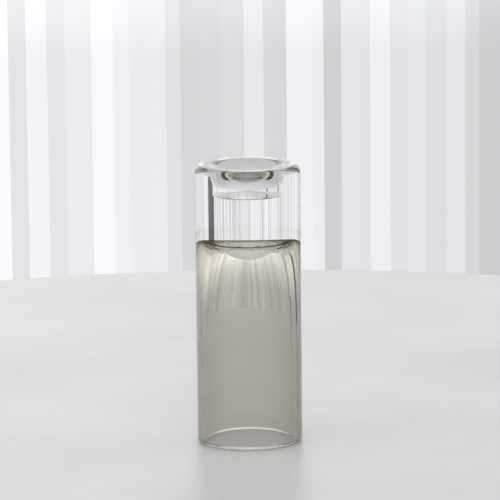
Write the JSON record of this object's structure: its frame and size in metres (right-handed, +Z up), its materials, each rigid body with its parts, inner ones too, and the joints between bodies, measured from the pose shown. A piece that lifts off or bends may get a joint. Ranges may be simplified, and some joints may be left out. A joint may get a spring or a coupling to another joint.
{
  "type": "glass cylinder vase",
  "caption": "Reversible cased glass cylinder: an open smoke-lined vase cavity below, and a solid clear block with a trumpet-mouthed candle well on top.",
  "frame": {"origin": "centre of the ground rim of the open end, on the plane the vessel stands on", "axes": "+Z up along the axis of revolution, from the open rim to the block with the candle well; X and Y are free, the shape is round"},
  "size_m": [0.09, 0.09, 0.24],
  "materials": {
    "clear_glass": "fire-polished and clear, ground and polished at the rim",
    "smoke_glass": "clear smoke grey, smooth"
  },
  "bodies": {
    "root": {"clear_body": "clear_glass", "smoke_layer": "smoke_glass"}
  },
  "joints": []
}
